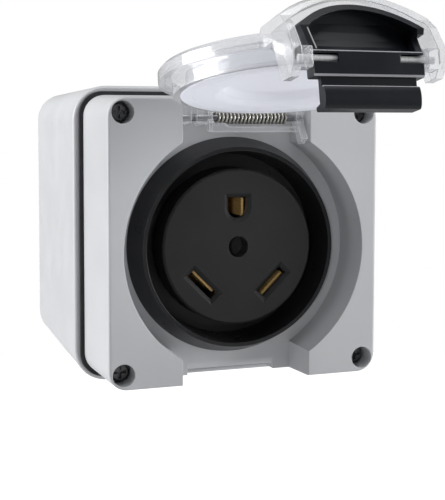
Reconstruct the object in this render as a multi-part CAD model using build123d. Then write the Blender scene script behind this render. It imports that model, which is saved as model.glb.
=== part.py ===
from build123d import *
import math
import os

# RV power outlet box: a deep surface box, a screwed front with a round recess, a black
# three-pin travel-trailer outlet, and a clear spring-held flap with a finger latch.
# Frame of the part, in millimetres: +Z up, +X to the right of a person who faces it, +Y into
# the wall. The origin is the centre of the wall face. Depths below are counted from the
# front face towards the wall. The flap is drawn shut and then turned open about its pin.

# Overall sizes
overall_depth = 122.0
face_side = 101.0
front_depth = 34.0
front_draft = 2.0
front_corner = 8.0
front_edge_round = 1.0
front_wall = 2.6
rim_step = 3.5
rim_round = 1.3
box_corner = 11.0
box_draft = 1.1
box_wall = 3.2
box_back_wall = 3.6
box_ledge_width = 6.6
box_ledge_depth = 4.0

# Gasket between box and front
gasket_thickness = 1.6
gasket_outer_margin = 2.1
gasket_width = 3.9

# Fits
seat_gap = 0.1
sliding_gap = 0.15
moving_gap = 0.3

# Corner screws of the front
screw_margin = 5.3
screw_shank_radius = 2.0
screw_head_radius = 3.5
screw_head_height = 2.4
screw_head_depth = 6.0
screw_length = 37.0
screw_well_radius = 3.95
screw_post_radius = 5.6
cross_slot_width = 1.1
cross_slot_length = 4.4
cross_slot_depth = 1.4
insert_outer_radius = 2.9
insert_length = 9.0
insert_sink = 0.5

# Wall fixing holes
wall_hole_pitch = 76.0
wall_hole_radius = 2.75
wall_pad_radius = 6.0
wall_pad_height = 2.0

# Conduit entries in the top and the bottom of the box
entry_depth = 80.0
entry_radius = 12.5
entry_boss_radius = 17.5
entry_boss_length = 9.0
plug_head_radius = 14.6
plug_head_height = 2.2
plug_barrel_length = 7.5
plug_wall = 2.2
plug_slot_width = 2.4
entry_seal_thickness = 1.2

# Recess in the front and its notches
socket_drop = 3.35
recess_radius = 45.0
recess_depth = 17.5
recess_floor = 2.8
notch_half_width = 24.0

recess_draft = 2.0

# Black outlet ring and the nut behind it
ring_front_depth = 7.9
ring_front_outer = 36.3
ring_front_inner = 34.9
ring_base_radius = 39.8
ring_barrel_radius = 36.4
ring_well_depth = 23.0
ring_well_radius = 33.6
ring_well_floor = 4.5
ring_seal_inner = 37.3
ring_seal_outer = 38.7
ring_seal_thickness = 1.0
nut_radius = 40.9
nut_thickness = 4.6
nut_slots = 8
nut_slot_width = 5.0
nut_slot_depth = 2.0

# Outlet face and its openings
face_depth = 9.7
face_radius = 28.45
face_edge_round = 0.8
face_flange_radius = 35.4
face_flange_thickness = 3.0
face_skin = 3.0
centre_hole_radius = 3.8
centre_hole_depth = 7.0
blade_offset = 19.0
blade_mouth_flare = 1.4
blade_slot_length = 12.2
blade_slot_width = 3.2
mouth_chamfer_depth = 1.3
blade_cavity_length = 13.6
blade_cavity_width = 7.0
ground_offset = 14.2
ground_slot_width = 7.4
ground_slot_height = 7.6
ground_cavity_side = 11.0

# Outlet base, contacts and terminals
base_radius = 28.6
base_thickness = 15.0
base_pocket_width = 11.6
base_floor = 4.0
contact_leaf = 0.9
contact_gap = 1.9
ground_contact_gap = 4.8
contact_width = 11.0
contact_front_depth = 13.6
terminal_plate = 1.6
terminal_reach = 27.5
terminal_width = 9.0
terminal_screw_spot = 23.6
clamp_thickness = 1.4
clamp_rise = 2.4
terminal_screw_radius = 1.75
terminal_head_radius = 3.4
terminal_head_height = 2.2
terminal_screw_length = 5.4
base_screw_offset = 22.0
base_screw_radius = 1.5
base_screw_head_radius = 2.8
base_screw_head_height = 1.8
base_screw_length = 22.0
fixing_screw_circle = 32.2
fixing_screw_length = 6.0

# Flap hinge
hinge_depth = 6.9
hinge_ring_gap = 4.55
hinge_pin_radius = 1.2
hinge_pin_overlap = 2.2
barrel_radius = 2.7
open_angle = 101.1
knuckles = [(-23.2, -19.4), (-17.6, -13.4), (20.2, 23.2)]
leaf_half_width = 23.2
leaf_rise = 1.3
leaf_reach = 11.6

# Guard of the flap under the spring, as the open flap holds it
guard_left = -13.4
guard_right = 20.8
guard_forward = 3.9
guard_drop = 5.0
guard_height = 1.9
guard_thickness = 1.8
guard_plate = 1.8
guard_lip_right = -7.6
guard_lip_height = 1.4
stop_width = 2.6
stop_reach = 10.1
stop_half_height = 1.8
stop_tilt = 23.6

# Flap spring
coil_left = -10.4
coil_right = 17.0
coil_turns = 18
coil_outer_radius = 2.3
coil_wire = 0.9
spring_leg_length = 5.4

# Clear flap
flap_radius = 42.0
flap_proud = 1.5
flap_plate = 2.2
flap_edge_round = 1.4
flap_lip_height = 4.6
flap_lip_width = 2.0
drum_outer_radius = 38.0
drum_tip_radius = 37.3
drum_wall = 2.0
drum_lip = 0.3

# White flap seal
seal_clearance = 0.3
seal_thickness = 1.8
dish_mouth_radius = 23.4
dish_floor_radius = 20.0
dish_depth = 4.4

# Latch cradle at the free end of the flap
cradle_inner = 20.4
cradle_wall = 2.4
cradle_shoulder = 3.0
cradle_front = 10.6
cradle_roof = 1.8
cradle_root = 36.0
cradle_roof_gap = 0.5
boss_inner = 17.2
boss_half = 2.9
boss_root = 49.0

# Latch
latch_pivot_depth = 10.3
latch_pivot_drop = 56.0
latch_pin_radius = 1.0
latch_pin_half = 20.2
latch_half_width = 16.4
latch_block_top = 52.4
latch_block_bottom = 56.8
latch_block_front = 8.1
latch_block_back = 15.4
latch_edge = 0.5
hook_half_width = 14.3
hook_arm_top = 54.6
hook_neck = 56.4
hook_start = 17.9
hook_back = 24.9
hook_edge_drop = 57.2
hook_roll_drop = 58.5
hook_lip_front = 23.0
hook_tip_drop = 52.2
hood_half_width = 18.7
hood_base_half = 16.6
hood_front = -7.0
hood_shoulder = 1.0
hood_wall = 1.9
hood_top = 46.0
hood_front_rim = 49.0
hood_shoulder_rim = 55.3
pin_window_inner = 9.3
pin_window_half = 1.25

# Catch in the lower notch
catch_half_width = 16.9
catch_drop = 49.4
catch_slot_back = 27.6
catch_slot_top = 46.2
catch_pocket_wall = 1.4

# Worked-out places
front_y = -overall_depth
front_growth = math.tan(math.radians(front_draft))
box_growth = math.tan(math.radians(box_draft))
recess_growth = math.tan(math.radians(recess_draft))
front_back_side = face_side + 2 * front_depth * front_growth
rim_side = front_back_side + 2 * rim_step
box_front_depth = front_depth + gasket_thickness
box_depth = overall_depth - box_front_depth
box_back_side = rim_side - 2 * box_depth * box_growth
box_inner_back = overall_depth - box_back_wall
gasket_outer_side = rim_side - 2 * gasket_outer_margin
screw_seat_depth = screw_head_depth + screw_head_height
socket_z = -socket_drop
screw_pitch = face_side - 2 * screw_margin
hinge_height = ring_base_radius - socket_drop + hinge_ring_gap + coil_outer_radius
leaf_top = hinge_height + leaf_rise
leaf_low = leaf_top - leaf_reach
floor_back_depth = recess_depth + recess_floor
barrel_back_depth = ring_well_depth + ring_well_floor
face_flange_depth = barrel_back_depth + seat_gap
base_front_depth = face_flange_depth + face_flange_thickness
base_back_depth = base_front_depth + base_thickness
plate_depth = base_front_depth + seat_gap
plate_back_depth = plate_depth + terminal_plate
clamp_depth = plate_back_depth + clamp_rise
coil_middle = coil_outer_radius - coil_wire / 2
seal_face_depth = ring_front_depth - seal_clearance
flap_inner_depth = flap_plate - flap_proud
flap_edge_drop = flap_radius + socket_drop
guard_front = hinge_depth - guard_forward
guard_low = hinge_height - guard_drop
hinge_line = Axis((0, front_y + hinge_depth, hinge_height), (1, 0, 0))
screw_spots = [(sx * screw_pitch / 2, sz * screw_pitch / 2) for sx in (-1, 1) for sz in (-1, 1)]
wall_spots = [(sx * wall_hole_pitch / 2, sz * wall_hole_pitch / 2) for sx in (-1, 1) for sz in (-1, 1)]
fixing_angles = [30, 150, 270]
contact_angles = {"ground_contact": 90, "line_contact": 225, "neutral_contact": 315}
contact_offsets = {"ground_contact": ground_offset, "line_contact": blade_offset,
                   "neutral_contact": blade_offset}


def facing(depth):
    """Plane at a depth behind the front face, as the viewer sees it: x right, y up."""
    return Plane(origin=(0, front_y + depth, 0), x_dir=(1, 0, 0), z_dir=(0, -1, 0))


def slab(sketch, near, far, draft=0.0):
    """Raise a front-view sketch from the depth far towards the viewer, as far as near."""
    return extrude(facing(far) * sketch, amount=far - near, taper=draft)


def rod(x, z, radius, near, far):
    """Round bar along the depth."""
    return slab(Pos(x, z) * Circle(radius), near, far)


def block(left, right, near, far, low, high):
    """Plain block between two corners."""
    sketch = Pos((left + right) / 2, (low + high) / 2) * Rectangle(right - left, high - low)
    return slab(sketch, near, far)


def side_profile(sketch, left, right):
    """Raise a side-view sketch, drawn as (depth, height), from left to right."""
    plane = Plane(origin=(left, front_y, 0), x_dir=(0, 1, 0), z_dir=(1, 0, 0))
    return extrude(plane * sketch, amount=right - left)


def plan_profile(sketch, low, high):
    """Raise a plan-view sketch, drawn as (across, depth), from low to high."""
    return extrude(Pos(0, front_y, low) * sketch, amount=high - low)


def polygon(*points):
    """Closed face through the points."""
    return make_face(Polyline(*points, close=True))


def turned(points):
    """Turn a (radius, depth) outline about the socket's axis."""
    return Pos(0, front_y, socket_z) * revolve(polygon(*points), Axis.Y)


def on_face(angle, distance, sketch):
    """Place a front-view sketch at an angle round the socket, its x along the circle."""
    return Pos(0, socket_z) * Rot(0, 0, angle - 90) * Pos(0, distance) * sketch


def swing_open(shape):
    """Turn a piece of the shut flap about its pin to where the open flap holds it."""
    return shape.rotate(hinge_line, -open_angle)


def cross_recess(x, z, depth, length, width, sink):
    """Cross-shaped driver recess that opens towards the viewer."""
    cross = Rectangle(length, width) + Rectangle(width, length)
    return slab(Pos(x, z) * cross, depth, depth + sink)


def entry_top():
    """Height of the box's outside over the middle of an entry."""
    return rim_side / 2 - (entry_depth - box_front_depth) * box_growth


def entry_bar(side, radius, low, high):
    """Upright bar on an entry's axis, in the top (side 1) or the bottom (side -1)."""
    return Pos(0, front_y + entry_depth, side * (low + high) / 2) * Cylinder(radius, high - low)


def make_back_box():
    """Deep box with its ledge, corner posts, wall holes and conduit entries."""
    outer = slab(RectangleRounded(box_back_side, box_back_side, box_corner),
                 box_front_depth, overall_depth, -box_draft)
    outer = fillet(outer.faces().sort_by(Axis.Y)[0].edges(), rim_round)
    cavity_side = box_back_side - 2 * box_wall
    cavity_corner = box_corner - box_wall
    cavity = slab(RectangleRounded(cavity_side, cavity_side, cavity_corner),
                  box_front_depth, box_inner_back, -box_draft)
    mouth_side = rim_side - 2 * box_ledge_width
    mouth = RectangleRounded(mouth_side, mouth_side, cavity_corner)
    ledge_back = box_front_depth + box_ledge_depth
    ledge = slab(RectangleRounded(rim_side, rim_side, box_corner) - mouth, box_front_depth, ledge_back)
    body = outer - cavity + (ledge & outer)
    for x, z in screw_spots:
        body += rod(x, z, screw_post_radius, box_front_depth, box_inner_back)
    for x, z in wall_spots:
        body += rod(x, z, wall_pad_radius, box_inner_back - wall_pad_height, box_inner_back)
    top = entry_top()
    seat = top - plug_head_height - entry_seal_thickness
    for side in (-1, 1):
        body += entry_bar(side, entry_boss_radius, top - entry_boss_length, top + box_wall) & outer
        body -= entry_bar(side, entry_radius + seat_gap, top - entry_boss_length, top + box_wall)
        body -= entry_bar(side, plug_head_radius + moving_gap, seat, top + box_wall)
    bore_back = box_front_depth + insert_sink + insert_length
    screw_end = screw_seat_depth + screw_length
    for x, z in screw_spots:
        body -= rod(x, z, insert_outer_radius + seat_gap / 2, box_front_depth, bore_back)
        body -= rod(x, z, screw_shank_radius + moving_gap, bore_back, screw_end + box_wall)
    for x, z in wall_spots:
        body -= rod(x, z, wall_hole_radius, box_inner_back - wall_pad_height, overall_depth)
    return body


def make_entry_plug(side):
    """Screwed blanking plug, hollow from inside, with a coin slot in its flush head."""
    top = entry_top()
    under = top - plug_head_height
    plug = entry_bar(side, plug_head_radius, under, top)
    plug += entry_bar(side, entry_radius, under - plug_barrel_length, under)
    plug -= entry_bar(side, entry_radius - plug_wall, under - plug_barrel_length, under)
    slot_sink = plug_head_height / 2
    slot = Box(2 * entry_radius, plug_slot_width, slot_sink)
    return plug - Pos(0, front_y + entry_depth, side * (top - slot_sink / 2)) * slot


def make_entry_seal(side):
    """Flat ring under the plug's head."""
    high = entry_top() - plug_head_height
    low = high - entry_seal_thickness
    ring = entry_bar(side, plug_head_radius - moving_gap, low, high)
    return ring - entry_bar(side, entry_radius + seat_gap, low, high)


def make_gasket():
    """Square rubber gasket with an eyelet round each corner screw."""
    inner_side = gasket_outer_side - 2 * gasket_width
    outer_corner = box_corner - gasket_outer_margin
    ring = RectangleRounded(gasket_outer_side, gasket_outer_side, outer_corner)
    ring -= RectangleRounded(inner_side, inner_side, outer_corner - gasket_width)
    for x, z in screw_spots:
        ring += Pos(x, z) * Circle(screw_post_radius)
    for x, z in screw_spots:
        ring -= Pos(x, z) * Circle(screw_shank_radius + moving_gap)
    return slab(ring, front_depth, box_front_depth)


def make_recess(grow, far):
    """Drafted round recess with a notch above and below, down to the depth far."""
    back_radius = recess_radius + grow - far * recess_growth
    back_half = notch_half_width + grow - far * recess_growth
    front_radius = recess_radius + grow
    dish = turned([(0, 0), (front_radius, 0), (back_radius, far), (0, far)])
    notch = slab(Rectangle(2 * back_half, 2 * face_side), 0, far, -recess_draft)
    return dish + notch


def make_front():
    """Front moulding: shell, recess, screw wells and the catch's slot."""
    outer = slab(RectangleRounded(front_back_side, front_back_side, front_corner), 0,
                 front_depth, front_draft)
    outer = fillet(outer.faces().sort_by(Axis.Y)[0].edges(), front_edge_round)
    cavity_side = front_back_side - 2 * front_wall
    cavity = slab(RectangleRounded(cavity_side, cavity_side, front_corner - front_wall), front_wall,
                  front_depth, front_draft)
    body = outer - cavity + (make_recess(front_wall, floor_back_depth) & outer)
    for x, z in screw_spots:
        body += rod(x, z, screw_post_radius, front_wall, front_depth) & outer
    pocket_half = catch_half_width + catch_pocket_wall
    body += block(-pocket_half, pocket_half, recess_depth, catch_slot_back + catch_pocket_wall,
                  -face_side, -catch_slot_top + catch_pocket_wall) & outer
    body -= make_recess(0, recess_depth)
    body -= rod(0, socket_z, ring_barrel_radius + seat_gap, recess_depth, floor_back_depth)
    for x, z in screw_spots:
        body -= rod(x, z, screw_well_radius, 0, screw_seat_depth)
        body -= rod(x, z, screw_shank_radius + moving_gap, screw_seat_depth, front_depth)
    pin_reach = notch_half_width + hinge_pin_overlap + seat_gap
    pin_hole = Pos(hinge_depth, hinge_height) * Circle(hinge_pin_radius + seat_gap / 2)
    body -= side_profile(pin_hole, -pin_reach, pin_reach)
    body -= block(-catch_half_width, catch_half_width, 0, catch_slot_back, -face_side, -catch_drop)
    body -= block(-catch_half_width, catch_half_width, floor_back_depth, catch_slot_back,
                  -face_side, -catch_slot_top)
    return body - make_catch_round()


def make_catch_round():
    """What is cut from the floor's lower edge to leave it round for the latch."""
    low = -catch_drop
    corner = polygon((recess_depth, low), (floor_back_depth, low), (floor_back_depth, low + recess_floor),
                     (recess_depth, low + recess_floor))
    corner -= Pos(floor_back_depth, low + recess_floor) * Circle(recess_floor)
    return side_profile(corner, -catch_half_width, catch_half_width)


def make_frame_screws():
    """Four pan-head screws that hold the front on the box."""
    screws = []
    for x, z in screw_spots:
        head = rod(x, z, screw_head_radius, screw_head_depth, screw_seat_depth)
        head = chamfer(head.faces().sort_by(Axis.Y)[0].edges(), screw_head_height / 3)
        shank = rod(x, z, screw_shank_radius, screw_seat_depth, screw_seat_depth + screw_length)
        recess = cross_recess(x, z, screw_head_depth, cross_slot_length, cross_slot_width,
                              cross_slot_depth)
        screws.append(head + shank - recess)
    return screws


def make_inserts():
    """Four brass thread inserts in the box's corner posts."""
    start = box_front_depth + insert_sink
    end = start + insert_length
    return [rod(x, z, insert_outer_radius, start, end)
            - rod(x, z, screw_shank_radius + seat_gap / 2, start, end) for x, z in screw_spots]


def make_ring():
    """Black ring: tapered collar on the recess floor, plug well and threaded barrel."""
    groove_front = recess_depth - ring_seal_thickness
    barrel_bore = face_radius + seat_gap
    ring = turned([
        (ring_front_inner, ring_front_depth), (ring_front_outer, ring_front_depth),
        (ring_base_radius, recess_depth), (ring_seal_outer, recess_depth),
        (ring_seal_outer, groove_front), (ring_seal_inner, groove_front),
        (ring_seal_inner, recess_depth), (ring_barrel_radius, recess_depth),
        (ring_barrel_radius, barrel_back_depth), (barrel_bore, barrel_back_depth),
        (barrel_bore, ring_well_depth), (ring_well_radius, ring_well_depth)])
    for angle in fixing_angles:
        hole = on_face(angle, fixing_screw_circle, Circle(base_screw_radius + seat_gap / 2))
        ring -= slab(hole, base_front_depth - fixing_screw_length - seat_gap, barrel_back_depth)
    return ring


def make_ring_seal():
    """Flat seal in the groove under the collar."""
    inner = ring_seal_inner + seat_gap
    outer = ring_seal_outer - seat_gap
    front = recess_depth - ring_seal_thickness + seat_gap / 2
    return turned([(inner, front), (outer, front), (outer, recess_depth), (inner, recess_depth)])


def make_ring_nut():
    """Slotted nut behind the recess floor that pulls the ring tight."""
    front = floor_back_depth + seat_gap / 2
    back = front + nut_thickness
    inner = ring_barrel_radius + seat_gap / 2
    nut = turned([(inner, front), (nut_radius, front), (nut_radius, back), (inner, back)])
    for index in range(nut_slots):
        slot = on_face(index * 360 / nut_slots, nut_radius, Rectangle(nut_slot_width, nut_radius / 4))
        nut -= slab(slot, back - nut_slot_depth, back)
    return nut


def blade_outline(length, width):
    """Outline of a blade opening, its length along the circle."""
    return Rectangle(length, width)


def ground_outline(grow):
    """Opening of the ground pin: flat above, round below."""
    width = ground_slot_width + 2 * grow
    height = ground_slot_height + 2 * grow
    upper = Pos(0, height / 2 - (height - width / 2) / 2) * Rectangle(width, height - width / 2)
    return upper + Pos(0, width / 2 - height / 2) * Circle(width / 2)


def opening_through_face(angle, distance, slot, mouth):
    """Slot through the face's skin with a flared mouth in front."""
    mouth_back = face_depth + mouth_chamfer_depth
    through = slab(on_face(angle, distance, slot), face_depth, face_depth + face_skin)
    flare = loft([facing(mouth_back) * on_face(angle, distance, slot),
                  facing(face_depth) * on_face(angle, distance, mouth)])
    return through + flare


def make_outlet_face():
    """Round black outlet face with two slanted blade openings and a ground opening."""
    flange_back = base_front_depth
    body = turned([
        (0, face_depth), (face_radius - face_edge_round, face_depth),
        (face_radius, face_depth + face_edge_round), (face_radius, face_flange_depth),
        (face_flange_radius, face_flange_depth), (face_flange_radius, flange_back), (0, flange_back)])
    body -= rod(0, socket_z, centre_hole_radius, face_depth, face_depth + centre_hole_depth)
    cavity_front = face_depth + face_skin
    for name, angle in contact_angles.items():
        distance = contact_offsets[name]
        if name == "ground_contact":
            slot = ground_outline(0)
            mouth = ground_outline(blade_mouth_flare)
            cavity = Rectangle(ground_cavity_side, ground_cavity_side)
        else:
            slot = blade_outline(blade_slot_length, blade_slot_width)
            mouth = blade_outline(blade_slot_length + 2 * blade_mouth_flare,
                                  blade_slot_width + 2 * blade_mouth_flare)
            cavity = blade_outline(blade_cavity_length, blade_cavity_width)
        body -= opening_through_face(angle, distance, slot, mouth)
        body -= slab(on_face(angle, distance, cavity), cavity_front, flange_back)
    for angle in fixing_angles:
        hole = on_face(angle, fixing_screw_circle, Circle(base_screw_radius + seat_gap / 2))
        body -= slab(hole, face_flange_depth, flange_back)
    for side in (-1, 1):
        body -= rod(side * base_screw_offset, socket_z, base_screw_radius + seat_gap / 2,
                    base_back_depth - base_screw_length - seat_gap, flange_back)
    return body


def make_contact(name):
    """Brass contact: spring leaves in the face and a terminal plate behind them."""
    angle = contact_angles[name]
    distance = contact_offsets[name]
    if name == "ground_contact":
        wide = ground_contact_gap + 2 * contact_leaf
        leaves = Rectangle(wide, wide) - Pos(0, contact_leaf) * Rectangle(ground_contact_gap, wide)
    else:
        wide = contact_gap + 2 * contact_leaf
        leaves = Rectangle(contact_width, wide) - Rectangle(contact_width, contact_gap)
    body = slab(on_face(angle, distance, leaves), contact_front_depth, plate_depth)
    inner = distance - wide / 2
    plate = Pos(0, (inner + terminal_reach) / 2 - distance) * Rectangle(terminal_width,
                                                                       terminal_reach - inner)
    plate -= Pos(0, terminal_screw_spot - distance) * Circle(terminal_screw_radius + seat_gap / 2)
    return body + slab(on_face(angle, distance, plate), plate_depth, plate_back_depth)


def make_clamps():
    """Square wire clamps that stand off the terminal plates."""
    clamps = []
    for angle in contact_angles.values():
        clamp = Rectangle(terminal_width - 1, terminal_width - 1) - Circle(terminal_screw_radius + seat_gap)
        clamps.append(slab(on_face(angle, terminal_screw_spot, clamp), clamp_depth,
                           clamp_depth + clamp_thickness))
    return clamps


def back_screw(angle, circle, head_depth, head_radius, head_height, shank_radius, length):
    """Screw driven from behind, towards the viewer, with a cross recess in its head."""
    head = slab(on_face(angle, circle, Circle(head_radius)), head_depth, head_depth + head_height)
    shank = slab(on_face(angle, circle, Circle(shank_radius)), head_depth - length, head_depth)
    cross = Rectangle(head_radius, cross_slot_width) + Rectangle(cross_slot_width, head_radius)
    recess = slab(on_face(angle, circle, cross), head_depth + head_height / 2, head_depth + head_height)
    return head + shank - recess


def make_terminal_screws():
    """Three terminal screws."""
    head_depth = clamp_depth + clamp_thickness
    return [back_screw(angle, terminal_screw_spot, head_depth, terminal_head_radius,
                       terminal_head_height, terminal_screw_radius, terminal_screw_length)
            for angle in contact_angles.values()]


def make_fixing_screws():
    """Three screws that hold the outlet's flange to the ring."""
    return [back_screw(angle, fixing_screw_circle, base_front_depth, base_screw_head_radius,
                       base_screw_head_height, base_screw_radius, fixing_screw_length)
            for angle in fixing_angles]


def make_base_screws():
    """Two long screws that hold the base to the face."""
    head_depth = base_back_depth
    return [back_screw(angle, base_screw_offset, head_depth, base_screw_head_radius,
                       base_screw_head_height, base_screw_radius, base_screw_length)
            for angle in (0, 180)]


def make_base():
    """Base behind the face, with an open pocket and a driver hole for each terminal."""
    body = rod(0, socket_z, base_radius, base_front_depth, base_back_depth)
    pocket_back = base_back_depth - base_floor
    for name, angle in contact_angles.items():
        inner = contact_offsets[name] - base_pocket_width / 2
        pocket = Pos(0, (inner + base_radius) / 2 + 1) * Rectangle(base_pocket_width,
                                                                  base_radius - inner + 2)
        body -= slab(on_face(angle, 0, pocket), base_front_depth, pocket_back)
        hole = on_face(angle, terminal_screw_spot, Circle(terminal_head_radius + moving_gap))
        body -= slab(hole, pocket_back, base_back_depth)
    for side in (-1, 1):
        body -= rod(side * base_screw_offset, socket_z, base_screw_radius + seat_gap / 2,
                    base_front_depth, base_back_depth)
    return body


def make_hinge_pin():
    """Steel pin across the upper notch, into both of its walls."""
    reach = notch_half_width + hinge_pin_overlap
    return side_profile(Pos(hinge_depth, hinge_height) * Circle(hinge_pin_radius), -reach, reach)


def make_spring():
    """Torsion spring: close coils on the pin, one leg behind the flap, one on the recess floor."""
    pitch = (coil_right - coil_left) / coil_turns
    root = coil_outer_radius - coil_wire / 3
    outline = [(coil_left, coil_outer_radius - coil_wire), (coil_left, root)]
    for index in range(coil_turns):
        start = coil_left + index * pitch
        outline += [(start + pitch / 2, coil_outer_radius), (start + pitch, root)]
    outline.append((coil_right, coil_outer_radius - coil_wire))
    coil = revolve(polygon(*outline), Axis.X)
    coil = Pos(0, front_y + hinge_depth, hinge_height) * coil
    wire = Circle(coil_wire / 2)
    floor_leg = slab(Pos(coil_left + coil_wire, hinge_height + coil_middle) * wire, hinge_depth,
                     recess_depth - seat_gap)
    flap_leg = plan_profile(Pos(coil_right - coil_wire, hinge_depth + coil_middle) * wire,
                            hinge_height, hinge_height + spring_leg_length)
    return coil + floor_leg + flap_leg


def make_flap():
    """Clear flap: lipped disc, inner drum, hinge leaf with knuckles and the latch carrier."""
    tip = seal_face_depth - drum_lip
    disc = turned([
        (0, -flap_proud), (flap_radius - flap_edge_round, -flap_proud),
        (flap_radius, flap_edge_round - flap_proud), (flap_radius, flap_lip_height - flap_proud),
        (flap_radius - flap_lip_width, flap_lip_height - flap_proud),
        (flap_radius - flap_lip_width, flap_inner_depth), (drum_outer_radius, flap_inner_depth),
        (drum_tip_radius, tip), (drum_tip_radius - drum_wall, tip),
        (drum_tip_radius - drum_wall, seal_face_depth - seal_thickness - seat_gap),
        (drum_tip_radius - 2 * drum_wall, seal_face_depth - seal_thickness - seat_gap),
        (drum_tip_radius - 2 * drum_wall, flap_inner_depth), (0, flap_inner_depth)])
    leaf = block(-leaf_half_width, leaf_half_width, -flap_proud, flap_inner_depth, leaf_low, leaf_top)
    body = make_cradle() + disc + leaf
    arm_low = flap_radius - socket_drop
    arm = polygon((-flap_proud, arm_low - 2), (-flap_proud, leaf_top),
                  (flap_inner_depth, hinge_height + barrel_radius),
                  (hinge_depth, hinge_height + barrel_radius),
                  (hinge_depth, hinge_height - barrel_radius),
                  (flap_lip_height - flap_proud, arm_low), (flap_inner_depth, arm_low - 2))
    knuckle = arm + Pos(hinge_depth, hinge_height) * Circle(barrel_radius)
    knuckle -= Pos(hinge_depth, hinge_height) * Circle(hinge_pin_radius + sliding_gap)
    for left, right in knuckles:
        body += side_profile(knuckle, left, right)
    return body + make_stop()


def make_stop():
    """Stop lug behind the flap's right knuckle."""
    lug = Pos(stop_reach / 2, 0) * Rectangle(stop_reach, 2 * stop_half_height)
    lug += Circle(barrel_radius)
    lug -= Circle(hinge_pin_radius + sliding_gap)
    left = knuckles[-1][0]
    return side_profile(Pos(hinge_depth, hinge_height) * Rot(0, 0, -stop_tilt) * lug, left,
                        left + stop_width)


def make_guard():
    """Bar of the flap under the spring and its end plates, as the open flap holds them."""
    high = guard_low + guard_height
    back = guard_front + guard_thickness
    bar = block(guard_left, guard_right, guard_front, back, guard_low, high)
    lip = polygon((guard_left, guard_low), (guard_lip_right + guard_lip_height, guard_low),
                  (guard_lip_right + guard_lip_height, high), (guard_lip_right, high + guard_lip_height),
                  (guard_left, high + guard_lip_height))
    bar += slab(lip, guard_front, back)
    plate = polygon((guard_front, guard_low), (back, guard_low),
                    (hinge_depth + barrel_radius, hinge_height), (hinge_depth, hinge_height + barrel_radius),
                    (guard_front, high + guard_lip_height))
    plate += Pos(hinge_depth, hinge_height) * Circle(barrel_radius)
    plate -= Pos(hinge_depth, hinge_height) * Circle(hinge_pin_radius + sliding_gap)
    bar += side_profile(plate, guard_left, guard_left + guard_plate)
    return bar + side_profile(plate, guard_right - guard_plate / 3, guard_right + guard_plate)


def arch(half, shoulder, front, back):
    """Plan-view outline, drawn as (across, depth): straight sides and a bowed front."""
    sides = Polyline((-half, shoulder), (-half, back), (half, back), (half, shoulder))
    return make_face(sides + ThreePointArc((half, shoulder), (0, front), (-half, shoulder)))


def make_cradle():
    """Open cradle of the latch: two ears, a bowed roof and the bosses of the latch pin."""
    outer_half = cradle_inner + cradle_wall
    outer = plan_profile(arch(outer_half, -cradle_shoulder, -cradle_front, latch_block_back),
                         -hinge_height - latch_pivot_drop, -cradle_root)
    inner = plan_profile(arch(cradle_inner, -cradle_shoulder + cradle_roof, -cradle_front + cradle_roof,
                              2 * latch_block_back),
                         -hinge_height - latch_pivot_drop, -cradle_root)
    tip_low = -latch_pivot_drop - 3.3
    lip = flap_lip_height - flap_proud
    roof_low = -hood_top - cradle_roof_gap
    side = polygon((-flap_proud, -cradle_root), (-cradle_front, -hood_top), (-cradle_front, roof_low - 1.1),
                   (-2.6, -hood_top - 5.3), (0.8, -hood_top - 9.2), (latch_block_front, tip_low),
                   (latch_pivot_depth + 1.4, tip_low), (latch_block_back, -latch_pivot_drop),
                   (latch_block_back, -hood_top - 4.5), (lip, -hood_top + 1.0), (lip, -cradle_root))
    hollow = polygon((-cradle_front, -hinge_height - latch_pivot_drop), (-cradle_front, roof_low),
                     (-cradle_front + cradle_roof, roof_low), (flap_inner_depth, -cradle_root - 1.4),
                     (2 * latch_block_back, -cradle_root - 1.4),
                     (2 * latch_block_back, -hinge_height - latch_pivot_drop))
    shell = side_profile(side, -outer_half, outer_half) & outer
    shell -= side_profile(hollow, -cradle_inner, cradle_inner) & inner
    boss = Pos(latch_pivot_depth, -latch_pivot_drop) * RectangleRounded(2 * boss_half, 2 * boss_half, 1)
    for left, right in ((boss_inner, cradle_inner + 1), (-cradle_inner - 1, -boss_inner)):
        shell += side_profile(boss, left, right)
    pin_hole = Pos(latch_pivot_depth, -latch_pivot_drop) * Circle(latch_pin_radius + seat_gap / 2)
    return shell - side_profile(pin_hole, -latch_pin_half - seat_gap, latch_pin_half + seat_gap)


def make_flap_seal():
    """White seal in the drum, dished in the middle."""
    outer = drum_tip_radius - drum_wall - seat_gap
    back = seal_face_depth - seal_thickness
    floor_front = seal_face_depth - dish_depth
    floor_back = floor_front - seal_thickness
    return turned([
        (0, floor_back), (dish_floor_radius - 1, floor_back), (dish_mouth_radius - 1, back), (outer, back),
        (outer, seal_face_depth), (dish_mouth_radius, seal_face_depth), (dish_floor_radius, floor_front),
        (0, floor_front)])


def make_latch():
    """Latch: finger hood in front, cross block on the pin, hook arm behind."""
    low = -latch_block_bottom
    high = -latch_block_top
    core = polygon((latch_block_front, low), (latch_block_back - latch_edge, low),
                   (latch_block_back, low + latch_edge), (latch_block_back, high - latch_edge),
                   (latch_block_back - latch_edge, high), (latch_block_front, high))
    body = side_profile(core, -latch_half_width, latch_half_width)
    body += side_profile(make_hook_outline(), -hook_half_width, hook_half_width)
    body += make_hood()
    for side in (-1, 1):
        inner = side * pin_window_inner
        outer = side * (latch_half_width + 1)
        body -= block(min(inner, outer), max(inner, outer), latch_pivot_depth - pin_window_half,
                      latch_pivot_depth + pin_window_half, low - 1, -latch_pivot_drop + pin_window_half)
    pin_hole = Pos(latch_pivot_depth, -latch_pivot_drop) * Circle(latch_pin_radius + sliding_gap)
    return body - side_profile(pin_hole, -latch_half_width, latch_half_width)


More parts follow.
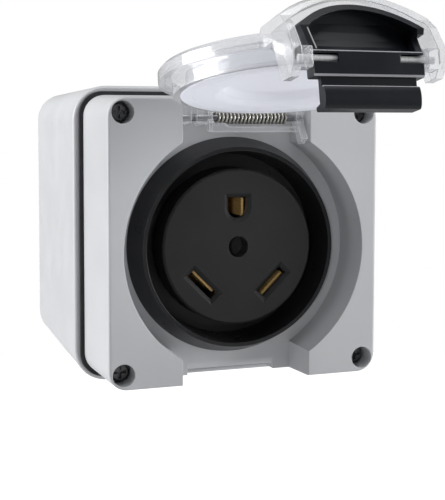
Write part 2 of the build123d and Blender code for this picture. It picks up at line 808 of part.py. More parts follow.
def make_hook_outline():
    """Side view of the hook arm: rounded below, with a lip that stands up at its end."""
    root = latch_block_back - 1
    lower = Polyline((root, -hook_arm_top), (root, -hook_neck), (hook_start, -hook_neck),
                     (hook_start, -hook_edge_drop))
    roll = ThreePointArc((hook_start, -hook_edge_drop), ((hook_start + hook_back) / 2, -hook_roll_drop),
                         (hook_back, -hook_edge_drop))
    lip = Polyline((hook_back, -hook_edge_drop), (hook_back, -hook_tip_drop - latch_edge),
                   (hook_back - latch_edge, -hook_tip_drop), (hook_lip_front, -hook_tip_drop),
                   (hook_lip_front - latch_edge, -hook_arm_top), (root, -hook_arm_top))
    return make_face(lower + roll + lip)


def make_hood():
    """Scoop for the finger: an arched hood with a pocket and a rim that falls away in front."""
    base = latch_block_front + latch_edge
    sides = Polyline((-hood_half_width, hood_shoulder), (-hood_base_half, base), (hood_base_half, base),
                     (hood_half_width, hood_shoulder))
    bow = ThreePointArc((hood_half_width, hood_shoulder), (0, hood_front), (-hood_half_width, hood_shoulder))
    outline = make_face(sides + bow)
    hood = plan_profile(outline, -latch_block_bottom, -hood_top)
    hood -= plan_profile(offset(outline, -hood_wall), -latch_block_bottom, -hood_top - hood_wall)
    slope = polygon((hood_front - 1, -hood_top), (base, -hood_top), (base, -latch_block_bottom),
                    (hood_shoulder, -hood_shoulder_rim), (hood_front, -hood_front_rim),
                    (hood_front - 1, -hood_front_rim))
    return hood & side_profile(slope, -face_side, face_side)


def make_latch_pin():
    """Steel pin of the latch."""
    return side_profile(Pos(latch_pivot_depth, -latch_pivot_drop) * Circle(latch_pin_radius),
                        -latch_pin_half, latch_pin_half)


nodes = {
    "back_box": make_back_box(),
    "top_entry_plug": make_entry_plug(1),
    "top_entry_seal": make_entry_seal(1),
    "bottom_entry_plug": make_entry_plug(-1),
    "bottom_entry_seal": make_entry_seal(-1),
    "box_gasket": make_gasket(),
    "thread_inserts": make_inserts(),
    "front_frame": make_front(),
    "frame_screws": make_frame_screws(),
    "outlet_ring": make_ring(),
    "ring_seal": make_ring_seal(),
    "ring_nut": make_ring_nut(),
    "outlet_face": make_outlet_face(),
    "outlet_base": make_base(),
    "ground_contact": make_contact("ground_contact"),
    "line_contact": make_contact("line_contact"),
    "neutral_contact": make_contact("neutral_contact"),
    "wire_clamps": make_clamps(),
    "terminal_screws": make_terminal_screws(),
    "outlet_fixing_screws": make_fixing_screws(),
    "outlet_base_screws": make_base_screws(),
    "hinge_pin": make_hinge_pin(),
    "flap_spring": make_spring(),
    "flap": swing_open(make_flap()) + make_guard(),
    "flap_seal": swing_open(make_flap_seal()),
    "latch": swing_open(make_latch()),
    "latch_pin": swing_open(make_latch_pin()),
}

os.makedirs("parts", exist_ok=True)
for name, shape in nodes.items():
    solids = shape if isinstance(shape, list) else [shape]
    export_step(Compound(children=[solid for piece in solids for solid in piece.solids()]),
                f"parts/{name}.step")
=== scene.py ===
import bmesh
import bpy
import math
from mathutils import Matrix, Vector


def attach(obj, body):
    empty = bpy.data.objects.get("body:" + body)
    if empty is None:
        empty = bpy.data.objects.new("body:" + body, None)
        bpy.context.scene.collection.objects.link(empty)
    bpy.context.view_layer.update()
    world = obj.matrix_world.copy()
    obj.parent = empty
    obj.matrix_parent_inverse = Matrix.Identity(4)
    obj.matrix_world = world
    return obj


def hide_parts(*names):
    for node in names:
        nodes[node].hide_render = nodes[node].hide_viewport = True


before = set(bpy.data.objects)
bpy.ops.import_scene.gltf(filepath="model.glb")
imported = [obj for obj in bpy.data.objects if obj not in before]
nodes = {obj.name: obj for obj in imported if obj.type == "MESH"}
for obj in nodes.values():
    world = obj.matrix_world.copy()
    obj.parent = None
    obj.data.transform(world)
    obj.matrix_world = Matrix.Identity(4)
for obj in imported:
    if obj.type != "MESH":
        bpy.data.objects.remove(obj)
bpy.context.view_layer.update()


# Node tools

class Shader:
    """Small helper that builds one node material."""

    def __init__(self, name):
        self.material = bpy.data.materials.new(name)
        self.material.use_nodes = True
        self.tree = self.material.node_tree
        self.surface = self.tree.nodes["Principled BSDF"]
        self.output = self.tree.nodes["Material Output"]
        self.place = self.tree.nodes.new("ShaderNodeTexCoord").outputs["Object"]
        self.edge = 0.0

    def set(self, **values):
        for key, value in values.items():
            self.surface.inputs[key.replace("_", " ")].default_value = value
        return self

    def noise(self, scale, detail=3.0, rough=0.5, stretch=(1, 1, 1)):
        mapping = self.tree.nodes.new("ShaderNodeMapping")
        mapping.inputs["Scale"].default_value = stretch
        self.tree.links.new(self.place, mapping.inputs["Vector"])
        node = self.tree.nodes.new("ShaderNodeTexNoise")
        node.inputs["Scale"].default_value = scale
        node.inputs["Detail"].default_value = detail
        node.inputs["Roughness"].default_value = rough
        self.tree.links.new(mapping.outputs["Vector"], node.inputs["Vector"])
        return node.outputs["Fac"]

    def spread(self, value, low, high):
        node = self.tree.nodes.new("ShaderNodeMapRange")
        node.inputs["From Min"].default_value = 0.3
        node.inputs["From Max"].default_value = 0.7
        node.inputs["To Min"].default_value = low
        node.inputs["To Max"].default_value = high
        self.tree.links.new(value, node.inputs["Value"])
        return node.outputs["Result"]

    def ramp(self, value, *stops):
        node = self.tree.nodes.new("ShaderNodeValToRGB")
        node.color_ramp.elements[0].position = stops[0][0]
        node.color_ramp.elements[0].color = (*stops[0][1], 1)
        node.color_ramp.elements[1].position = stops[-1][0]
        node.color_ramp.elements[1].color = (*stops[-1][1], 1)
        for place, colour in stops[1:-1]:
            node.color_ramp.elements.new(place).color = (*colour, 1)
        self.tree.links.new(value, node.inputs["Fac"])
        return node.outputs["Color"]

    def edges(self, radius, strength):
        """White near sharp edges, black on plain faces."""
        round_off = self.tree.nodes.new("ShaderNodeBevel")
        round_off.samples = 8
        round_off.inputs["Radius"].default_value = radius
        plain = self.tree.nodes.new("ShaderNodeNewGeometry")
        turn = self.tree.nodes.new("ShaderNodeVectorMath")
        turn.operation = "DOT_PRODUCT"
        self.tree.links.new(round_off.outputs["Normal"], turn.inputs[0])
        self.tree.links.new(plain.outputs["True Normal"], turn.inputs[1])
        node = self.tree.nodes.new("ShaderNodeMapRange")
        node.inputs["From Min"].default_value = 0.985
        node.inputs["From Max"].default_value = 0.84
        node.inputs["To Min"].default_value = 0.0
        node.inputs["To Max"].default_value = strength
        self.tree.links.new(turn.outputs["Value"], node.inputs["Value"])
        return node.outputs["Result"]

    def greater(self, first, second):
        node = self.tree.nodes.new("ShaderNodeMath")
        node.operation = "MAXIMUM"
        self.tree.links.new(first, node.inputs[0])
        self.tree.links.new(second, node.inputs[1])
        return node.outputs[0]

    def near_line(self, start, end, radius):
        """White within the radius of the line between two points of the piece, fading out at its border."""
        offset = self.tree.nodes.new("ShaderNodeVectorMath")
        offset.operation = "SUBTRACT"
        offset.inputs[1].default_value = (start + end) / 2
        self.tree.links.new(self.place, offset.inputs[0])
        across = self.tree.nodes.new("ShaderNodeVectorMath")
        across.operation = "CROSS_PRODUCT"
        across.inputs[1].default_value = (end - start).normalized()
        self.tree.links.new(offset.outputs["Vector"], across.inputs[0])
        masks = []
        for source, limit, fade in ((across, radius, 0.4), (offset, (end - start).length / 2, 0.1)):
            distance = self.tree.nodes.new("ShaderNodeVectorMath")
            distance.operation = "LENGTH"
            self.tree.links.new(source.outputs["Vector"], distance.inputs[0])
            node = self.tree.nodes.new("ShaderNodeMapRange")
            node.inputs["From Min"].default_value = limit
            node.inputs["From Max"].default_value = limit * (1 - fade)
            self.tree.links.new(distance.outputs["Value"], node.inputs["Value"])
            masks.append(node.outputs["Result"])
        both = self.tree.nodes.new("ShaderNodeMath")
        both.operation = "MULTIPLY"
        self.tree.links.new(masks[0], both.inputs[0])
        self.tree.links.new(masks[1], both.inputs[1])
        return both.outputs[0]

    def blend(self, factor, first, colour):
        node = self.tree.nodes.new("ShaderNodeMix")
        node.data_type = "RGBA"
        self.tree.links.new(factor, node.inputs[0])
        self.tree.links.new(first, node.inputs[6])
        node.inputs[7].default_value = (*colour, 1)
        return node.outputs[2]

    def link(self, value, key):
        self.tree.links.new(value, self.surface.inputs[key])
        return self

    def bump(self, *layers):
        """Each layer is (height value, distance in metres, strength); edge rounds the corners."""
        normal = None
        if self.edge > 0:
            node = self.tree.nodes.new("ShaderNodeBevel")
            node.samples = 6
            node.inputs["Radius"].default_value = self.edge
            normal = node.outputs["Normal"]
        for value, distance, strength in layers:
            node = self.tree.nodes.new("ShaderNodeBump")
            node.inputs["Distance"].default_value = distance
            node.inputs["Strength"].default_value = strength
            self.tree.links.new(value, node.inputs["Height"])
            if normal is not None:
                self.tree.links.new(normal, node.inputs["Normal"])
            normal = node.outputs["Normal"]
        return self.link(normal, "Normal")


def shade(colour, factor):
    """Colour made lighter or darker by a factor."""
    return tuple(min(1.0, channel * factor) for channel in colour)


def moulded(name, colour, rough, grain=2600.0, grain_depth=0.00002, mottle=0.03, edge=0.00035, shine=0.5):
    """Injection-moulded plastic: faint cloudiness, fine spark-eroded grain, uneven sheen."""
    s = Shader(name).set(IOR=1.5, Specular_IOR_Level=shine)
    s.edge = edge
    cloud = s.noise(28.0, 4.0)
    s.link(s.ramp(cloud, (0.3, shade(colour, 1 - mottle)), (0.7, shade(colour, 1 + mottle))), "Base Color")
    s.link(s.spread(s.noise(90.0, 3.0), rough - 0.05, rough + 0.06), "Roughness")
    s.bump((s.noise(grain, 2.0), grain_depth, 0.35), (s.noise(60.0, 2.0), 0.00003, 0.12))
    return s.material


def rubber(name, colour):
    """Dull soft rubber with a fine grain."""
    s = Shader(name).set(IOR=1.45)
    s.link(s.ramp(s.noise(120.0, 4.0), (0.3, shade(colour, 0.8)), (0.7, shade(colour, 1.3))), "Base Color")
    s.link(s.spread(s.noise(300.0, 3.0), 0.62, 0.8), "Roughness")
    s.bump((s.noise(1800.0, 2.0), 0.00003, 0.4))
    return s.material


def metal(name, colour, rough, stretch=(1, 1, 1), grain=900.0, metallic=1.0):
    """Worked metal: cloudy tone and fine drawing marks along the stretch."""
    s = Shader(name).set(Metallic=metallic)
    s.link(s.ramp(s.noise(140.0, 4.0, 0.6, stretch), (0.3, shade(colour, 0.82)), (0.7, colour)), "Base Color")
    s.link(s.spread(s.noise(grain, 3.0, 0.6, stretch), rough * 0.75, rough * 1.35), "Roughness")
    s.bump((s.noise(grain, 2.0, 0.5, stretch), 0.00001, 0.25))
    return s.material


def clear(name, colour, low, high):
    """Clear moulded plastic: see-through face-on, milky at grazing angles, milky white along sharp edges as a painted
    highlight, glossy skin, faint flow lines.
    """
    s = Shader(name).set(IOR=1.58, Roughness=0.09)
    s.edge = 0.0004
    s.link(s.ramp(s.noise(26.0, 3.0), (0.3, shade(colour, 0.96)), (0.7, shade(colour, 1.03))), "Base Color")
    s.bump((s.noise(55.0, 2.0), 0.00005, 0.12))
    weight = s.tree.nodes.new("ShaderNodeLayerWeight")
    weight.inputs["Blend"].default_value = 0.5
    whitening = s.ramp(weight.outputs["Facing"], (0.0, (low,) * 3), (0.55, (low * 0.6 + high * 0.4,) * 3),
                   (0.95, (high,) * 3))
    # Sharp edges are made milky white too: a painted highlight standing in for the bright edge lines of clear plastic
    whitening = s.greater(whitening, s.edges(0.0006, 1.0))
    through = s.tree.nodes.new("ShaderNodeBsdfTransparent")
    through.inputs["Color"].default_value = (0.985, 0.988, 0.995, 1)
    body = s.tree.nodes.new("ShaderNodeMixShader")
    s.tree.links.new(whitening, body.inputs["Fac"])
    s.tree.links.new(through.outputs[0], body.inputs[1])
    s.tree.links.new(s.surface.outputs[0], body.inputs[2])
    shine = s.tree.nodes.new("ShaderNodeBsdfGlossy")
    shine.inputs["Roughness"].default_value = 0.12
    shine.inputs["Color"].default_value = (1, 1, 1, 1)
    skin = s.tree.nodes.new("ShaderNodeMixShader")
    glint = s.ramp(weight.outputs["Facing"], (0.0, (0.03,) * 3), (0.5, (0.07,) * 3), (1.0, (0.55,) * 3))
    s.tree.links.new(glint, skin.inputs["Fac"])
    s.tree.links.new(body.outputs[0], skin.inputs[1])
    s.tree.links.new(shine.outputs[0], skin.inputs[2])
    s.tree.links.new(skin.outputs[0], s.output.inputs["Surface"])
    return s.material


def paint(node, material):
    """Give a node its only material."""
    mesh = nodes[node].data
    mesh.materials.clear()
    mesh.materials.append(material)


light_grey = (0.62, 0.63, 0.645)
box_plastic = moulded("box_plastic", light_grey, 0.42)
frame_plastic = moulded("frame_plastic", shade(light_grey, 0.97), 0.44)
plug_plastic = moulded("plug_plastic", shade(light_grey, 0.93), 0.46)
seal_black = rubber("seal_rubber", (0.022, 0.022, 0.024))
ring_plastic = moulded("ring_plastic", (0.0115, 0.0118, 0.013), 0.32, 1500.0, 0.00001, 0.12, shine=0.45)
face_plastic = moulded("face_plastic", (0.0105, 0.0105, 0.0113), 0.50, 1700.0, 0.00003, 0.10, shine=0.35)
base_plastic = moulded("base_plastic", (0.028, 0.028, 0.031), 0.55, 1500.0, 0.00003, 0.10)
brass = metal("contact_brass", (0.90, 0.60, 0.23), 0.30, (1, 1, 6), metallic=0.5)
insert_brass = metal("insert_brass", (0.74, 0.55, 0.27), 0.32, (1, 8, 1))
screw_steel = metal("screw_steel", (0.60, 0.60, 0.60), 0.28)
screw_dark = metal("frame_screw_steel", (0.20, 0.20, 0.205), 0.30)
clamp_steel = metal("clamp_steel", (0.62, 0.62, 0.63), 0.34, (1, 1, 5))
pin_steel = metal("pin_steel", (0.97, 0.97, 0.98), 0.30, (10, 1, 1), metallic=0.15)
spring_steel = metal("spring_steel", (0.60, 0.585, 0.53), 0.30, grain=300.0)
# The hinge pin is given a dark steel colour: painted shade that makes the gaps between the spring coils dark
hinge_steel_painted_shade = metal("hinge_pin_steel_painted_shade", (0.26, 0.26, 0.27), 0.32, (10, 1, 1))
clear_plastic = clear("flap_clear", (0.93, 0.935, 0.955), 0.10, 0.58)


# Place of the open flap. Its pieces, and the painted highlight lines of the latch, are given as on the shut flap, in
# millimetres
hinge = Vector((0.0, -0.1151, 0.0433))
hinge_depth = 6.9
open_turn = math.radians(-101.1)
socket_drop = 3.35


def lid_point(across, depth, height):
    """Place of a point of the shut flap, given in millimetres, when the flap is open."""
    y, z = (depth - hinge_depth) / 1000, height / 1000 - hinge.z
    return Vector((across / 1000, hinge.y + y * math.cos(open_turn) - z * math.sin(open_turn),
                   hinge.z + y * math.sin(open_turn) + z * math.cos(open_turn)))


# Latch plastic: blue-black, with painted highlight lines along the edges of the pocket, the block and the roll
latch_shader = Shader("latch_plastic").set(IOR=1.5, Specular_IOR_Level=0.4)
latch_shader.edge = 0.0003
latch_colour = latch_shader.ramp(latch_shader.noise(28.0, 4.0), (0.3, (0.0072, 0.0088, 0.0120)),
                                 (0.7, (0.0088, 0.0107, 0.0144)))
# Painted highlights: a paler colour mixed into the base colour near these edge lines of the pocket, the block and the
# roll
painted_highlights = latch_shader.near_line(lid_point(-20, 8.45, -57.1), lid_point(20, 8.45, -57.1), 0.00048)
painted_highlight_lines = (((-20, 15.15, -57.35), (20, 15.15, -57.35), 0.00048),
               ((-20, 18.0, -57.45), (20, 18.0, -57.45), 0.00044),
               ((-16.573, 1.564, -55.41), (-14.80, 7.9, -56.66), 0.00045))
for start, end, radius in painted_highlight_lines:
    line = latch_shader.near_line(lid_point(*start), lid_point(*end), radius)
    painted_highlights = latch_shader.greater(painted_highlights, line)
latch_shader.link(latch_shader.blend(painted_highlights, latch_colour, (0.50, 0.50, 0.53)), "Base Color")
latch_shader.link(latch_shader.spread(latch_shader.noise(90.0, 3.0), 0.28, 0.38), "Roughness")
latch_shader.bump((latch_shader.noise(1500.0, 2.0), 0.000006, 0.35),
                  (latch_shader.noise(60.0, 2.0), 0.00003, 0.12))
latch_plastic = latch_shader.material

# Seal plastic: white, and thin enough to let light through
seal_shader = Shader("flap_seal_white").set(IOR=1.45)
seal_tree = seal_shader.tree
seal_colour = seal_shader.ramp(seal_shader.noise(30.0, 3.0), (0.3, (0.86, 0.86, 0.90)), (0.7, (0.89, 0.89, 0.93)))
seal_shader.link(seal_colour, "Base Color")
seal_shader.link(seal_shader.spread(seal_shader.noise(80.0, 3.0), 0.34, 0.46), "Roughness")
seal_shader.bump((seal_shader.noise(900.0, 2.0), 0.00001, 0.25))
glow = seal_tree.nodes.new("ShaderNodeBsdfTranslucent")
glow.inputs["Color"].default_value = (0.945, 0.95, 0.975, 1)
thin = seal_tree.nodes.new("ShaderNodeMixShader")
thin.inputs["Fac"].default_value = 0.62
seal_tree.links.new(seal_shader.surface.outputs[0], thin.inputs[1])
seal_tree.links.new(glow.outputs[0], thin.inputs[2])
seal_tree.links.new(thin.outputs[0], seal_shader.output.inputs["Surface"])
seal_white = seal_shader.material

finishes = {
    "back_box": box_plastic, "front_frame": frame_plastic, "top_entry_plug": plug_plastic,
    "bottom_entry_plug": plug_plastic, "top_entry_seal": seal_black, "bottom_entry_seal": seal_black,
    "box_gasket": seal_black, "ring_seal": seal_black, "thread_inserts": insert_brass,
    "frame_screws": screw_dark, "outlet_ring": ring_plastic, "ring_nut": ring_plastic,
    "outlet_face": face_plastic, "outlet_base": base_plastic, "ground_contact": brass,
    "line_contact": brass, "neutral_contact": brass, "wire_clamps": clamp_steel,
    "terminal_screws": screw_steel, "outlet_fixing_screws": screw_steel,
    "outlet_base_screws": screw_steel, "hinge_pin": hinge_steel_painted_shade, "latch_pin": pin_steel,
    "flap_spring": spring_steel, "flap": clear_plastic, "flap_seal": seal_white, "latch": latch_plastic,
}
for node, material in finishes.items():
    paint(node, material)


# Mesh tools

def tube(name, points, radius, material, sides=10):
    """Round wire along a smooth line."""
    curve = bpy.data.curves.new(name, "CURVE")
    curve.dimensions = "3D"
    curve.bevel_depth = radius
    curve.bevel_resolution = max(1, sides // 4)
    curve.use_fill_caps = True
    line = curve.splines.new("POLY")
    line.points.add(len(points) - 1)
    for target, point in zip(line.points, points):
        target.co = (*point, 1)
    shape = bpy.data.objects.new(name, curve)
    bpy.context.scene.collection.objects.link(shape)
    mesh = bpy.data.meshes.new_from_object(shape)
    bpy.data.objects.remove(shape)
    piece = bpy.data.objects.new(name, mesh)
    bpy.context.scene.collection.objects.link(piece)
    for face in mesh.polygons:
        face.use_smooth = True
    mesh.materials.clear()
    mesh.materials.append(material)
    return piece


# Torsion spring: close coils on the hinge pin with a leg at each end
coil_left, coil_right, coil_turns = -0.0104, 0.0170, 18
coil_radius, wire_radius = 0.00178, 0.00046
leg = 0.0054
steps = 28
wire = [Vector((coil_left + wire_radius, hinge.y + 0.0100, hinge.z + coil_radius))]
for index in range(coil_turns * steps + 3 * steps // 4 + 1):
    turn = index / steps
    angle = math.pi / 2 - turn * 2 * math.pi
    across = coil_left + wire_radius + (coil_right - coil_left - 2 * wire_radius) * turn / (coil_turns + 0.75)
    wire.append(Vector((across, hinge.y + coil_radius * math.cos(angle), hinge.z + coil_radius * math.sin(angle))))
wire.append(Vector((coil_right - wire_radius, hinge.y + coil_radius, hinge.z + leg)))
spring = tube("spring_wire", wire, wire_radius, spring_steel)
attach(spring, "box")
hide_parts("flap_spring")


# White seal of the flap, turned with soft edges, a step in the dish and two sealing beads
def softened(corners):
    """Closed outline from (radius, depth, rounding) corners, each cut by a short arc."""
    outline = []
    for index, (radius, depth, rounding) in enumerate(corners):
        corner = Vector((radius, depth))
        if rounding == 0:
            outline.append(corner)
            continue
        before = Vector(corners[index - 1][:2]) - corner
        after = Vector(corners[(index + 1) % len(corners)][:2]) - corner
        start = corner + before.normalized() * min(rounding, before.length * 0.45)
        end = corner + after.normalized() * min(rounding, after.length * 0.45)
        for step in range(5):
            t = step / 4
            outline.append(start * (1 - t) ** 2 + corner * 2 * t * (1 - t) + end * t ** 2)
    return outline


def revolved(name, corners, material, segments=160):
    """Solid of revolution about the flap's axis; the first and the last corner lie on the axis."""
    outline = softened(corners)
    shape = bmesh.new()
    rings = []
    for point in outline:
        if point.x < 1e-6:
            rings.append([shape.verts.new(lid_point(0, point.y, -socket_drop))])
        else:
            rings.append([shape.verts.new(lid_point(point.x * math.cos(2 * math.pi * k / segments), point.y,
                                                    point.x * math.sin(2 * math.pi * k / segments) - socket_drop))
                          for k in range(segments)])
    for low, high in zip(rings, rings[1:]):
        for k in range(segments):
            after = (k + 1) % segments
            if len(low) == 1:
                shape.faces.new((low[0], high[k], high[after]))
            elif len(high) == 1:
                shape.faces.new((low[k], high[0], low[after]))
            else:
                shape.faces.new((low[k], high[k], high[after], low[after]))
    bmesh.ops.recalc_face_normals(shape, faces=shape.faces)
    mesh = bpy.data.meshes.new(name)
    shape.to_mesh(mesh)
    shape.free()
    for face in mesh.polygons:
        face.use_smooth = True
    mesh.materials.append(material)
    piece = bpy.data.objects.new(name, mesh)
    bpy.context.scene.collection.objects.link(piece)
    return piece


seal = revolved("seal_dish", [
    (0, 1.4, 0), (19.0, 1.4, 0.6), (22.4, 5.8, 0.6), (35.2, 5.8, 0.3), (35.2, 7.6, 0.5),
    (31.9, 7.6, 0.2), (31.6, 7.25, 0.2), (30.7, 7.25, 0.2), (30.4, 7.6, 0.2),
    (23.6, 7.6, 1.0), (22.5, 5.9, 0.4), (21.7, 5.6, 0.4), (20.4, 3.2, 1.2), (0, 3.2, 0)], seal_white)
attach(seal, "lid")
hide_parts("flap_seal")


# Finger latch: hood with a pocket open to its base, cross block with two pin windows, hook arm with its roll
def prism(outline, low, high, plan=False):
    """Solid from a side view (depth, height) drawn out across, or from a plan (across, depth) drawn out in height."""
    shape = bmesh.new()
    ends = []
    for level in (low, high):
        ends.append([shape.verts.new(lid_point(a, b, level) if plan else lid_point(level, a, b))
                     for a, b in outline])
    shape.faces.new(ends[0])
    shape.faces.new(ends[1])
    for k in range(len(outline)):
        after = (k + 1) % len(outline)
        shape.faces.new((ends[0][k], ends[0][after], ends[1][after], ends[1][k]))
    bmesh.ops.recalc_face_normals(shape, faces=shape.faces)
    mesh = bpy.data.meshes.new("prism")
    shape.to_mesh(mesh)
    shape.free()
    solid = bpy.data.objects.new("prism", mesh)
    bpy.context.scene.collection.objects.link(solid)
    return solid


def combine(solid, tool, operation):
    """Exact union, difference or intersection; the tool is used up."""
    modifier = solid.modifiers.new("cut", "BOOLEAN")
    modifier.operation = operation
    modifier.solver = "EXACT"
    modifier.object = tool
    bpy.context.view_layer.update()
    result = bpy.data.meshes.new_from_object(solid.evaluated_get(bpy.context.evaluated_depsgraph_get()))
    solid.modifiers.clear()
    solid.data = result
    bpy.data.objects.remove(tool)
    return solid


def arc(centre, radius, first, last, count):
    """Points from one angle to another, measured from the direction of falling depth."""
    return [(centre[0] + radius * math.sin(math.radians(first + (last - first) * k / count)),
             centre[1] - radius * math.cos(math.radians(first + (last - first) * k / count)))
            for k in range(count + 1)]


bow_centre, bow_radius, bow_angle, bow_steps = (0.0, 18.856), 25.856, 46.32, 48
inner_angle = 43.77
hood_low, hood_high, hood_wall = -56.8, -46.0, 1.9
block_half, hook_half = 16.4, 14.3
window_inner, window_outer = 9.3, 18.0
pin_depth, pin_height, bore_radius = 10.3, -56.0, 1.12
past_width, past_low = 30.0, -60.0
latch = prism(arc(bow_centre, bow_radius, -bow_angle, bow_angle, bow_steps) + [(16.6, 8.6), (-16.6, 8.6)],
              hood_low, hood_high, True)
pocket = prism(arc(bow_centre, bow_radius - hood_wall, -inner_angle, inner_angle, bow_steps)
               + [(14.75, 8.15), (-14.75, 8.15)], past_low, hood_high - hood_wall, True)
rim = prism([(-8.0, -45.0), (9.6, -45.0), (9.6, -57.0), (8.6, -56.8), (1.0, -55.3), (-7.0, -49.0), (-8.0, -49.0)],
            -past_width, past_width)
rim_kink = prism([(2.5, -61.0), (3.1, -52.2), (8.0, -56.5), (8.0, -61.0)], 13.0, 22.0)
scoop_floor = prism([(-1.4, -47.4), (-1.4, -47.95), (1.0, -48.5), (3.5, -49.5), (5.6, -50.8), (7.2, -52.4),
                     (8.4, -54.4), (8.4, -47.4)], -15.3, 15.3)
cross_block = prism([(8.25, -57.15), (8.7, -57.6), (14.85, -57.6), (15.4, -57.05), (15.4, -52.9), (14.9, -52.4),
                     (8.25, -52.4)], -block_half, block_half)
roll = [(21.1 - 3.2 * math.cos(math.pi * k / 20), -57.2 - 1.3 * math.sin(math.pi * k / 20)) for k in range(21)]
hook_arm = prism([(14.4, -54.6), (14.4, -56.4), (17.9, -56.4)] + roll
                 + [(24.3, -52.7), (23.8, -52.2), (23.0, -52.2), (22.5, -54.6)], -hook_half, hook_half)
pin_bore = prism([(pin_depth + bore_radius * math.cos(math.radians(a)),
                   pin_height + bore_radius * math.sin(math.radians(a))) for a in range(0, 360, 12)],
                 -window_outer, window_outer)
windows = [prism([(9.1, past_low), (9.1, -54.75), (11.5, -54.75), (11.5, past_low)], left, right)
           for left, right in ((-window_outer, -window_inner), (window_inner, window_outer))]
for tool, operation in ((pocket, "DIFFERENCE"), (rim, "INTERSECT"), (rim_kink, "DIFFERENCE"), (scoop_floor, "UNION"),
                        (cross_block, "UNION"), (hook_arm, "UNION"), (windows[0], "DIFFERENCE"),
                        (windows[1], "DIFFERENCE"), (pin_bore, "DIFFERENCE")):
    latch = combine(latch, tool, operation)
latch.name = "finger_latch_body"
latch.data.name = "finger_latch_body"
latch.data.materials.clear()
latch.data.materials.append(latch_plastic)
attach(latch, "finger_latch")
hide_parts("latch")

# Contacts: in each opening only the leaf whose inner face can be seen from the front left stands forward
def one_leaf(node, turn, away, size, name):
    """Copy of a contact with the front of its other leaves cut away by a turned box."""
    shape = nodes[node].data.copy()
    shape.transform(nodes[node].matrix_world)
    contact = bpy.data.objects.new(name, shape)
    bpy.context.scene.collection.objects.link(contact)
    bpy.ops.mesh.primitive_cube_add(size=1)
    cutter = bpy.context.active_object
    cutter.scale = size
    cutter.rotation_euler = (0, turn, 0)
    cutter.location = away
    bpy.context.view_layer.update()
    contact = combine(contact, cutter, "DIFFERENCE")
    contact.data.materials.clear()
    contact.data.materials.append(brass)
    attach(contact, "box")
    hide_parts(node)


blade_offset = 0.01900
leaf_middle, leaf_depth = -0.10045, 0.0171
one_leaf("ground_contact", 0, (-0.000695, leaf_middle, 0.011), (0.00621, leaf_depth, 0.0080), "ground_leaf")
outer, inner = (blade_offset + 0.00095) / math.sqrt(2), (blade_offset - 0.00095) / math.sqrt(2)
one_leaf("line_contact", math.radians(45), (-outer, leaf_middle, -outer - socket_drop / 1000),
         (0.0125, leaf_depth, 0.0029), "line_leaf")
one_leaf("neutral_contact", math.radians(-45), (inner, leaf_middle, -inner - socket_drop / 1000),
         (0.0125, leaf_depth, 0.0029), "neutral_leaf")


# Stage
floor_height = -0.24
floor_mesh = bpy.data.meshes.new("floor")
floor_edge = [(0.9 * math.cos(math.radians(step)), 0.9 * math.sin(math.radians(step)) - 0.1, floor_height)
              for step in range(0, 360, 5)]
floor_mesh.from_pydata(floor_edge, [], [tuple(range(len(floor_edge)))])
floor = bpy.data.objects.new("floor", floor_mesh)
bpy.context.scene.collection.objects.link(floor)
floor_shader = Shader("floor_white").set(Roughness=0.9, Specular_IOR_Level=0.0)
floor_colour = floor_shader.ramp(floor_shader.noise(3.0, 2.0), (0.3, (0.60, 0.60, 0.61)), (0.7, (0.62, 0.62, 0.63)))
floor_shader.link(floor_colour, "Base Color")
path = floor_shader.tree.nodes.new("ShaderNodeLightPath")
lift = floor_shader.tree.nodes.new("ShaderNodeMath")
lift.operation = "MULTIPLY"
lift.inputs[1].default_value = 0.80
floor_shader.tree.links.new(path.outputs["Is Camera Ray"], lift.inputs[0])
floor_shader.surface.inputs["Emission Color"].default_value = (1, 1, 1, 1)
floor_shader.link(lift.outputs[0], "Emission Strength")
floor_mesh.materials.append(floor_shader.material)

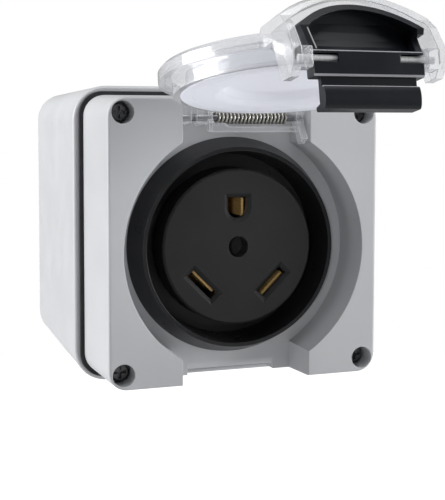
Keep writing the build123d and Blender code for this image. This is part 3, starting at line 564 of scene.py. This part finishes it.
world = bpy.data.worlds.new("studio")
bpy.context.scene.world = world
world.use_nodes = True
tree = world.node_tree
tree.nodes.clear()
out = tree.nodes.new("ShaderNodeOutputWorld")
shown = tree.nodes.new("ShaderNodeBackground")
shown.inputs["Color"].default_value = (1, 1, 1, 1)
shown.inputs["Strength"].default_value = 1.0
fill = tree.nodes.new("ShaderNodeBackground")
fill.inputs["Color"].default_value = (0.96, 0.98, 1.0, 1)
fill.inputs["Strength"].default_value = 0.17
rays = tree.nodes.new("ShaderNodeLightPath")
either = tree.nodes.new("ShaderNodeMath")
either.operation = "MAXIMUM"
tree.links.new(rays.outputs["Is Camera Ray"], either.inputs[0])
tree.links.new(rays.outputs["Is Transmission Ray"], either.inputs[1])
mix = tree.nodes.new("ShaderNodeMixShader")
tree.links.new(either.outputs[0], mix.inputs["Fac"])
tree.links.new(fill.outputs[0], mix.inputs[1])
tree.links.new(shown.outputs[0], mix.inputs[2])
tree.links.new(mix.outputs[0], out.inputs["Surface"])


def lamp(name, kind, place, target, power):
    """Lamp that looks at a target; its light is returned for its size."""
    light = bpy.data.lights.new(name, kind)
    light.energy = power
    source = bpy.data.objects.new(name, light)
    source.location = place
    source.rotation_euler = (Vector(target) - Vector(place)).to_track_quat("-Z", "Y").to_euler()
    bpy.context.scene.collection.objects.link(source)
    return light


# Three broad lamps, and a narrow one that reaches the contacts in the openings
centre, face_centre = (0.0, -0.06, 0.0), (0.002, -0.11, -0.004)
lamp("key", "AREA", (-1.3, 0.30, 0.30), centre, 20.0).size = 0.8
lamp("right", "AREA", (1.25, -0.68, 0.20), centre, 13.2).size = 0.7
lamp("top", "AREA", (0.0, -0.35, 1.3), centre, 10.0).size = 1.0
snoot = lamp("snoot", "SPOT", (-0.42, -0.92, 0.10), face_centre, 18.0)
snoot.spot_size = math.radians(3.5)
snoot.spot_blend = 0.6
snoot.shadow_soft_size = 0.03


# Camera at the photograph's place
photo_focal, photo_height = 1064.0, 500.0
view = bpy.data.cameras.new("view")
view.sensor_fit = "VERTICAL"
view.sensor_height = 36.0
view.lens = photo_focal * view.sensor_height / photo_height
view.shift_y = -0.12
view.clip_start = 0.01
yaw, pitch, tilt = math.radians(19.23), math.radians(3.80), math.radians(0.10)
forward = Vector((math.sin(yaw) * math.cos(pitch), math.cos(yaw) * math.cos(pitch), -math.sin(pitch)))
right = Vector((math.cos(yaw), -math.sin(yaw), 0.0))
up = right.cross(forward)
right_rolled = right * math.cos(tilt) + up * math.sin(tilt)
up_rolled = -right * math.sin(tilt) + up * math.cos(tilt)
camera = bpy.data.objects.new("view", view)
turn = Matrix((right_rolled, up_rolled, -forward)).transposed()
camera.matrix_world = Matrix.Translation((-0.132, -0.4732, 0.0428)) @ turn.to_4x4()
bpy.context.scene.collection.objects.link(camera)
bpy.context.scene.camera = camera
bpy.context.scene.view_settings.view_transform = "Standard"
